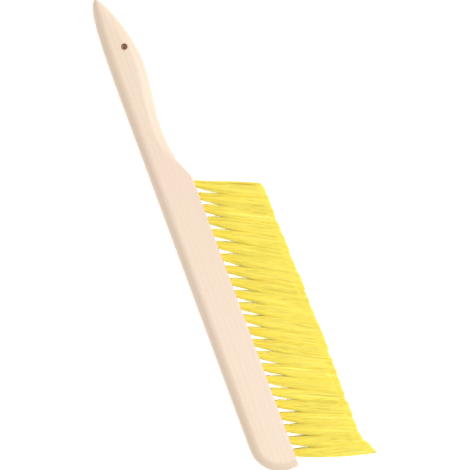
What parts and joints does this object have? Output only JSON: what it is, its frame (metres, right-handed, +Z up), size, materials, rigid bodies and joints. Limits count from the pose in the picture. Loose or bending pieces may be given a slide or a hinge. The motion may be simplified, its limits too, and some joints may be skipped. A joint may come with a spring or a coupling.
{
  "type": "bee brush",
  "caption": "Long soft hand brush for sweeping bees off a comb: flat beech back with a tapered grip and hang hole, and leaning yellow nylon tufts along one edge.",
  "frame": {"origin": "on the axis of the hang hole, in the lower flat face of the wooden back", "axes": "+X from the grip towards the toe, +Y out along the bristles, +Z up through the board's thickness"},
  "size_m": [0.4253, 0.0965, 0.016],
  "materials": {
    "beech": "fine-sanded, unvarnished pale beech",
    "bristle": "soft crimped yellow nylon filament with a satin sheen",
    "wire": "flat zinc-coated steel wire"
  },
  "bodies": {
    "root": {"wooden_back": "beech", "lower_anchors": "wire", "upper_anchors": "wire", "lower_tuft_01": "bristle", "lower_tuft_02": "bristle", "lower_tuft_03": "bristle", "lower_tuft_04": "bristle", "lower_tuft_05": "bristle", "lower_tuft_06": "bristle", "lower_tuft_07": "bristle", "lower_tuft_08": "bristle", "lower_tuft_09": "bristle", "lower_tuft_10": "bristle", "lower_tuft_11": "bristle", "lower_tuft_12": "bristle", "lower_tuft_13": "bristle", "lower_tuft_14": "bristle", "lower_tuft_15": "bristle", "lower_tuft_16": "bristle", "lower_tuft_17": "bristle", "lower_tuft_18": "bristle", "lower_tuft_19": "bristle", "lower_tuft_20": "bristle", "lower_tuft_21": "bristle", "lower_tuft_22": "bristle", "lower_tuft_23": "bristle", "upper_tuft_01": "bristle", "upper_tuft_02": "bristle", "upper_tuft_03": "bristle", "upper_tuft_04": "bristle", "upper_tuft_05": "bristle", "upper_tuft_06": "bristle", "upper_tuft_07": "bristle", "upper_tuft_08": "bristle", "upper_tuft_09": "bristle", "upper_tuft_10": "bristle", "upper_tuft_11": "bristle", "upper_tuft_12": "bristle", "upper_tuft_13": "bristle", "upper_tuft_14": "bristle", "upper_tuft_15": "bristle", "upper_tuft_16": "bristle", "upper_tuft_17": "bristle", "upper_tuft_18": "bristle", "upper_tuft_19": "bristle", "upper_tuft_20": "bristle", "upper_tuft_21": "bristle", "upper_tuft_22": "bristle", "upper_tuft_23": "bristle"}
  },
  "joints": []
}
